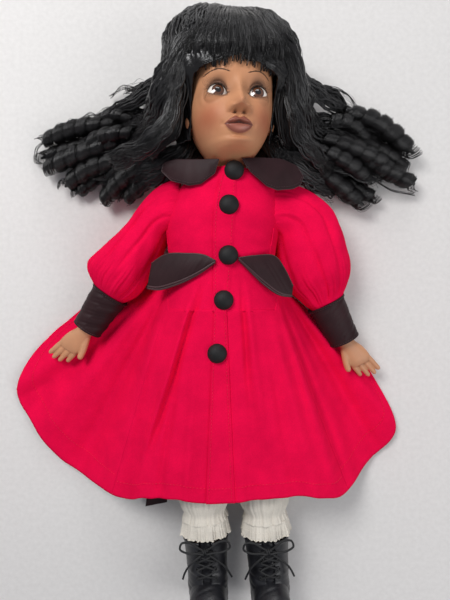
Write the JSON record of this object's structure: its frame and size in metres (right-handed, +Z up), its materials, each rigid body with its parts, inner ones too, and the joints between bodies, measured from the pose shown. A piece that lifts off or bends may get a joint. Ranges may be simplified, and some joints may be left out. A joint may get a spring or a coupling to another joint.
{
  "type": "porcelain doll",
  "caption": "Porcelain-headed doll with long black curls, red velveteen coat with black satin trim, ivory bloomers and black laced boots, lying on its back.",
  "frame": {"origin": "centre of the doll's bounding box, on the surface it lies on", "axes": "+Y from the feet to the head, +Z up, which is the doll's front as it lies on its back, +X to its left-hand side"},
  "size_m": [0.2976, 0.4143, 0.0834],
  "materials": {
    "bisque_porcelain": "matt bisque porcelain, tinted brown",
    "eye_glass": "glossy glass eye",
    "pate_board": "pressed board",
    "black_hair": "glossy synthetic hair",
    "steel": "plain steel",
    "muslin": "plain muslin",
    "tie_cord": "cotton cord",
    "red_velveteen": "short-piled red velveteen",
    "black_satin": "charcoal-black satin",
    "button_plastic": "flocked black",
    "ivory_cotton": "ivory cotton",
    "ivory_lace": "ivory cotton lace",
    "boot_leather": "soft black imitation leather",
    "boot_rubber": "black sole",
    "lace_cord": "round black cord"
  },
  "bodies": {
    "torso": {"torso_body": "muslin", "shoulder_plate": "bisque_porcelain", "bloomers_waist": "ivory_cotton", "neck_bolt": "steel", "neck_nut": "steel", "neck_washer": "steel", "neck_spring": "steel", "hair_tress_left": "black_hair", "hair_tress_right": "black_hair", "coat_front_left": "red_velveteen", "coat_front_right": "red_velveteen", "coat_back": "red_velveteen", "skirt_side_left": "red_velveteen", "skirt_side_right": "red_velveteen", "skirt_back": "red_velveteen", "sash_tail": "black_satin", "collar_left": "black_satin", "collar_right": "black_satin", "waist_tab_left": "black_satin", "waist_tab_right": "black_satin", "button_1": "button_plastic", "button_2": "button_plastic", "button_3": "button_plastic", "button_4": "button_plastic"},
    "head": {"head": "bisque_porcelain", "eye_left": "eye_glass", "eye_right": "eye_glass", "head_pate": "pate_board", "wig_crown": "black_hair"},
    "arm_left": {"upper_arm_left": "muslin", "arm_tie_left": "tie_cord", "sleeve_left": "red_velveteen", "cuff_left": "black_satin", "forearm_left": "bisque_porcelain"},
    "leg_left": {"thigh_left": "muslin", "leg_tie_left": "tie_cord", "lower_leg_left": "bisque_porcelain", "bloomers_left": "ivory_cotton", "lace_trim_left": "ivory_lace", "boot_upper_left": "boot_leather", "boot_tongue_left": "boot_leather", "boot_sole_left": "boot_rubber", "boot_laces_left": "lace_cord"},
    "arm_right": {"upper_arm_right": "muslin", "arm_tie_right": "tie_cord", "sleeve_right": "red_velveteen", "cuff_right": "black_satin", "forearm_right": "bisque_porcelain"},
    "leg_right": {"thigh_right": "muslin", "leg_tie_right": "tie_cord", "lower_leg_right": "bisque_porcelain", "bloomers_right": "ivory_cotton", "lace_trim_right": "ivory_lace", "boot_upper_right": "boot_leather", "boot_tongue_right": "boot_leather", "boot_sole_right": "boot_rubber", "boot_laces_right": "lace_cord"},
    "skirt_left": {"skirt_front_left": "red_velveteen", "button_5": "button_plastic"},
    "skirt_right": {"skirt_front_right": "red_velveteen"}
  },
  "joints": [
    {"name": "head_turn", "type": "hinge", "parent": "torso", "child": "head", "pos_m": [0.00975, 0.09642, 0.038], "axis": [0, 1, 0], "range_deg": [-40, 22]},
    {"name": "shoulder_left_swing", "type": "hinge", "parent": "torso", "child": "arm_left", "pos_m": [-0.03325, 0.07792, 0.027], "axis": [-1, 0, 0], "range_deg": [0, 70]},
    {"name": "shoulder_right_swing", "type": "hinge", "parent": "torso", "child": "arm_right", "pos_m": [0.04625, 0.07593, 0.027], "axis": [-1, 0, 0], "range_deg": [0, 70]},
    {"name": "hip_left_bend", "type": "hinge", "parent": "torso", "child": "leg_left", "pos_m": [-0.01225, -0.01408, 0.029], "axis": [-1, 0, 0], "range_deg": [0, 66]},
    {"name": "hip_right_bend", "type": "hinge", "parent": "torso", "child": "leg_right", "pos_m": [0.02775, -0.01408, 0.029], "axis": [-1, 0, 0], "range_deg": [0, 66]},
    {"name": "skirt_left_lift", "type": "hinge", "parent": "torso", "child": "skirt_left", "pos_m": [0.01475, 0.00592, 0.057], "axis": [-1, 0, 0], "range_deg": [0, 66]},
    {"name": "skirt_right_lift", "type": "hinge", "parent": "torso", "child": "skirt_right", "pos_m": [0.01475, 0.00592, 0.057], "axis": [-1, 0, 0], "range_deg": [0, 66]}
  ],
  "couplings": [
    {"joint": "skirt_left_lift", "follows": "hip_left_bend", "ratio": 1},
    {"joint": "skirt_right_lift", "follows": "hip_right_bend", "ratio": 1}
  ]
}
